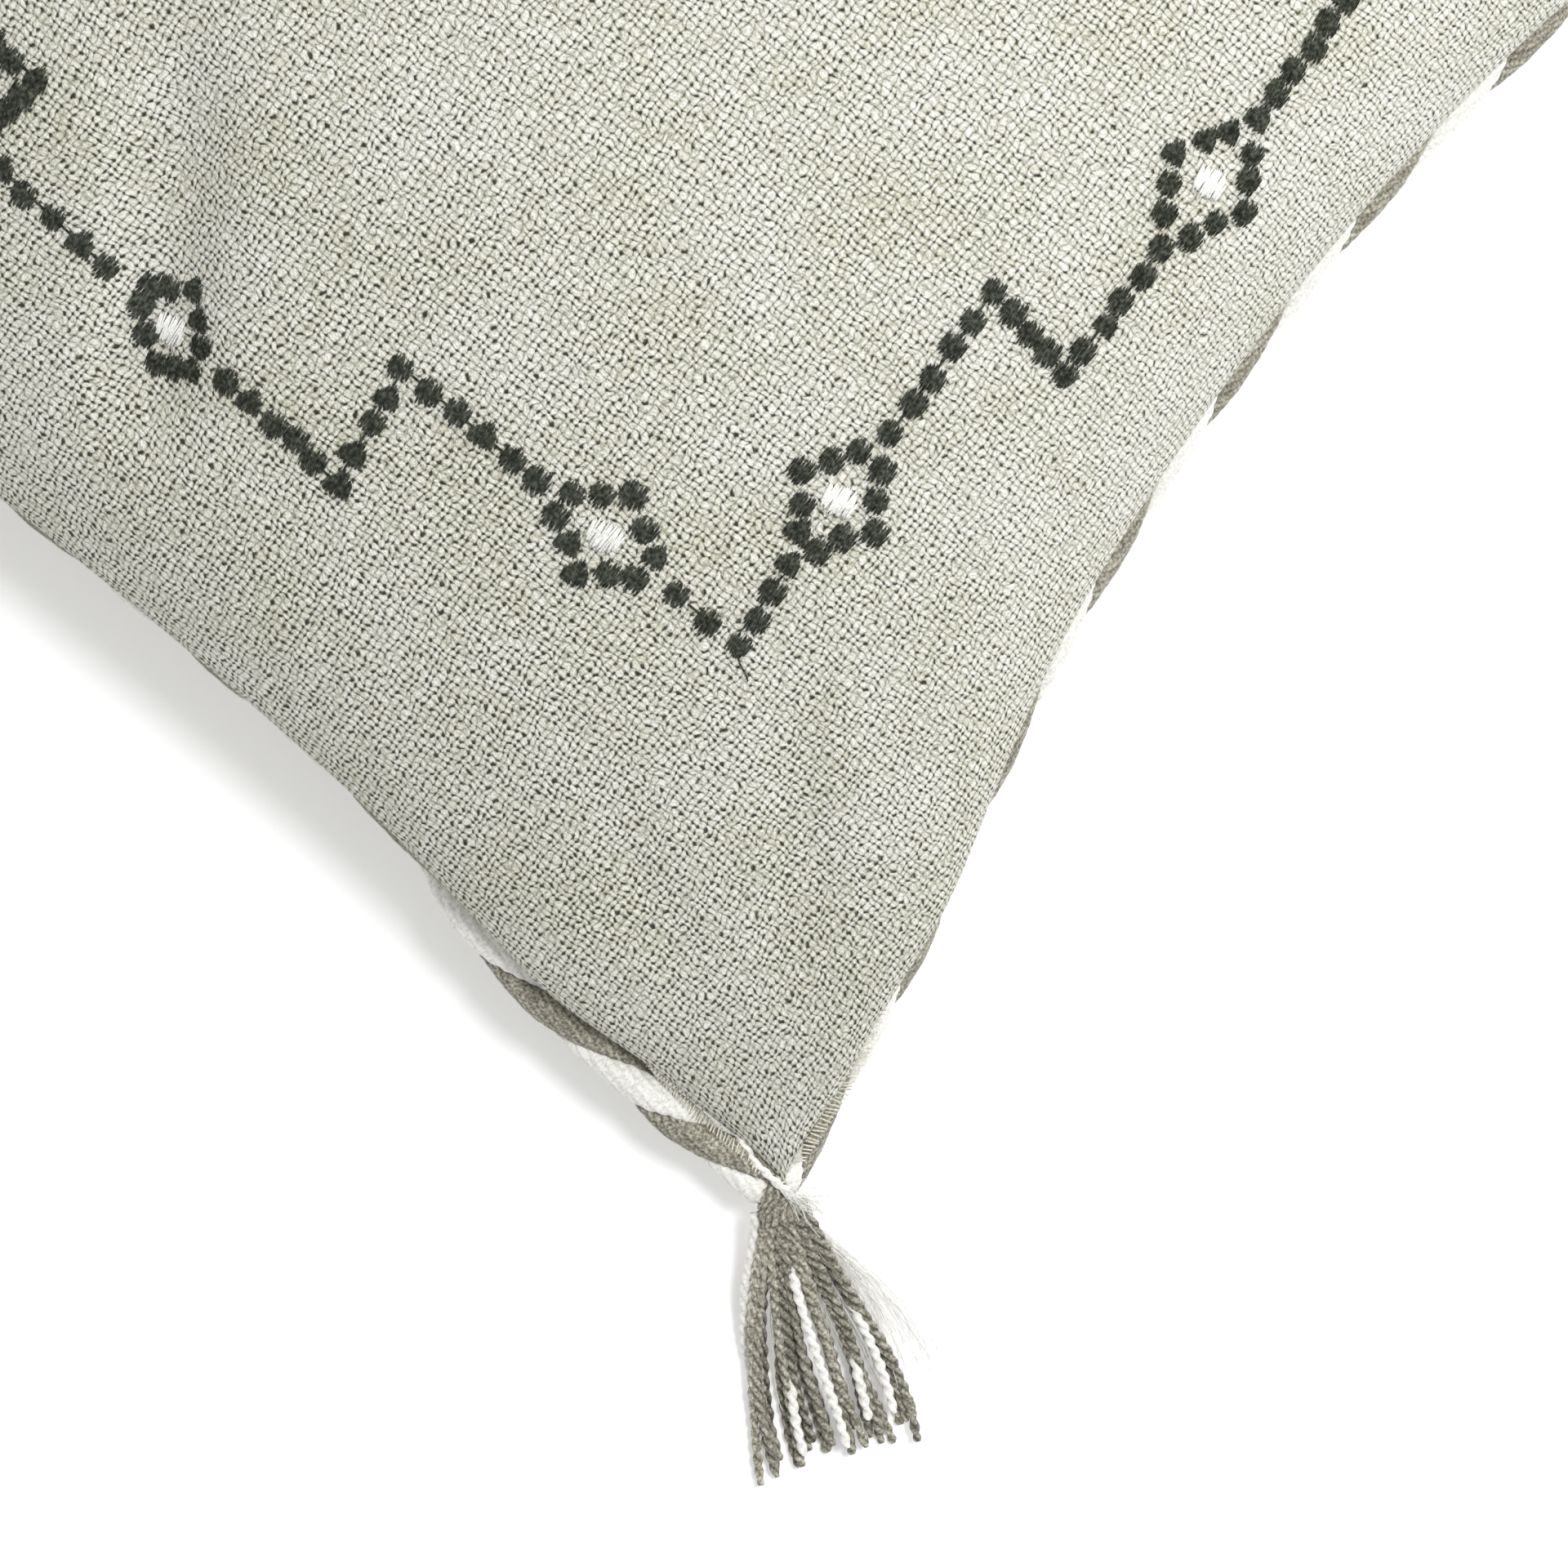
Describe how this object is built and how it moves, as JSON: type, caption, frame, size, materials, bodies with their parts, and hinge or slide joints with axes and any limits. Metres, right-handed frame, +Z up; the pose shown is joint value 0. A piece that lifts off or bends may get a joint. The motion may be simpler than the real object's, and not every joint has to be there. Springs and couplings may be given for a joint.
{
  "type": "throw pillow",
  "caption": "Square throw pillow with an embroidered woven front, twisted edge cord, corner tassels, hidden zip and a removable filled insert.",
  "frame": {"origin": "on the surface the pillow lies on, under its middle", "axes": "+Z up through the front panel, the sides along X and Y, the zip on the +Y side"},
  "size_m": [0.567, 0.567, 0.1322],
  "materials": {
    "slub_weave": "slubby plain weave, matte",
    "back_cloth": "plain cotton-linen cloth, matte",
    "cotton_casing": "fine white cotton",
    "fibre_filling": "loose white fibre",
    "taupe_yarn": "twisted taupe yarn",
    "ivory_yarn": "soft ivory yarn",
    "green_thread": "satin-stitched dark green thread",
    "white_thread": "satin-stitched white thread",
    "zip_tape": "woven zip tape",
    "nylon_teeth": "nylon coil",
    "zip_metal": "satin lacquered metal"
  },
  "bodies": {
    "pillow": {"cover_front": "slub_weave", "cover_back": "back_cloth", "insert_casing_front": "cotton_casing", "insert_casing_back": "cotton_casing", "insert_filling": "fibre_filling", "edge_cord_front_taupe": "taupe_yarn", "edge_cord_front_ivory": "ivory_yarn", "edge_cord_right_taupe": "taupe_yarn", "edge_cord_right_ivory": "ivory_yarn", "edge_cord_back_taupe": "taupe_yarn", "edge_cord_back_ivory": "ivory_yarn", "edge_cord_left_taupe": "taupe_yarn", "edge_cord_left_ivory": "ivory_yarn", "embroidery_green_line": "green_thread", "embroidery_white_front_1": "white_thread", "embroidery_white_front_2": "white_thread", "embroidery_white_front_3": "white_thread", "embroidery_white_right_1": "white_thread", "embroidery_white_right_2": "white_thread", "embroidery_white_right_3": "white_thread", "embroidery_white_back_1": "white_thread", "embroidery_white_back_2": "white_thread", "embroidery_white_back_3": "white_thread", "embroidery_white_left_1": "white_thread", "embroidery_white_left_2": "white_thread", "embroidery_white_left_3": "white_thread", "zip_tape_upper": "zip_tape", "zip_tape_lower": "zip_tape", "zip_teeth_upper": "nylon_teeth", "zip_teeth_lower": "nylon_teeth", "zip_stop_closed": "zip_metal", "zip_stop_open": "zip_metal"},
    "tassel_knot_left_back": {"tassel_knot_left_back": "taupe_yarn"},
    "tassel_knot_left_front": {"tassel_knot_left_front": "taupe_yarn"},
    "tassel_knot_right_back": {"tassel_knot_right_back": "taupe_yarn"},
    "tassel_knot_right_front": {"tassel_knot_right_front": "taupe_yarn"},
    "tassel_skirt_left_back": {"tassel_skirt_left_back": "taupe_yarn"},
    "tassel_skirt_left_front": {"tassel_skirt_left_front": "taupe_yarn"},
    "tassel_skirt_right_back": {"tassel_skirt_right_back": "taupe_yarn"},
    "tassel_skirt_right_front": {"tassel_skirt_right_front": "taupe_yarn"},
    "zip_pull": {"zip_pull": "zip_metal"},
    "zip_slider": {"zip_slider": "zip_metal"}
  },
  "joints": [
    {"name": "zip_slide", "type": "slide", "parent": "pillow", "child": "zip_slider", "axis": [1, 0, 0], "range_m": [0, 0.245]},
    {"name": "zip_pull_swing", "type": "hinge", "parent": "zip_slider", "child": "zip_pull", "pos_m": [-0.1229, 0.2176, 0.03365], "axis": [0, 0, -1], "range_deg": [0, 150]},
    {"name": "tassel_sweep_left_front", "type": "hinge", "parent": "pillow", "child": "tassel_knot_left_front", "pos_m": [-0.2315, -0.2315, 0.018], "axis": [0, 0, 1], "range_deg": [-35, 35]},
    {"name": "tassel_lift_left_front", "type": "hinge", "parent": "tassel_knot_left_front", "child": "tassel_skirt_left_front", "pos_m": [-0.2315, -0.2315, 0.018], "axis": [-0.7071, 0.7071, 0], "range_deg": [0, 100]},
    {"name": "tassel_sweep_right_front", "type": "hinge", "parent": "pillow", "child": "tassel_knot_right_front", "pos_m": [0.2315, -0.2315, 0.018], "axis": [0, 0, 1], "range_deg": [-35, 35]},
    {"name": "tassel_lift_right_front", "type": "hinge", "parent": "tassel_knot_right_front", "child": "tassel_skirt_right_front", "pos_m": [0.2315, -0.2315, 0.018], "axis": [-0.7071, -0.7071, 0], "range_deg": [0, 100]},
    {"name": "tassel_sweep_right_back", "type": "hinge", "parent": "pillow", "child": "tassel_knot_right_back", "pos_m": [0.2315, 0.2315, 0.018], "axis": [0, 0, 1], "range_deg": [-35, 35]},
    {"name": "tassel_lift_right_back", "type": "hinge", "parent": "tassel_knot_right_back", "child": "tassel_skirt_right_back", "pos_m": [0.2315, 0.2315, 0.018], "axis": [0.7071, -0.7071, 0], "range_deg": [0, 100]},
    {"name": "tassel_sweep_left_back", "type": "hinge", "parent": "pillow", "child": "tassel_knot_left_back", "pos_m": [-0.2315, 0.2315, 0.018], "axis": [0, 0, 1], "range_deg": [-35, 35]},
    {"name": "tassel_lift_left_back", "type": "hinge", "parent": "tassel_knot_left_back", "child": "tassel_skirt_left_back", "pos_m": [-0.2315, 0.2315, 0.018], "axis": [0.7071, 0.7071, 0], "range_deg": [0, 100]}
  ]
}
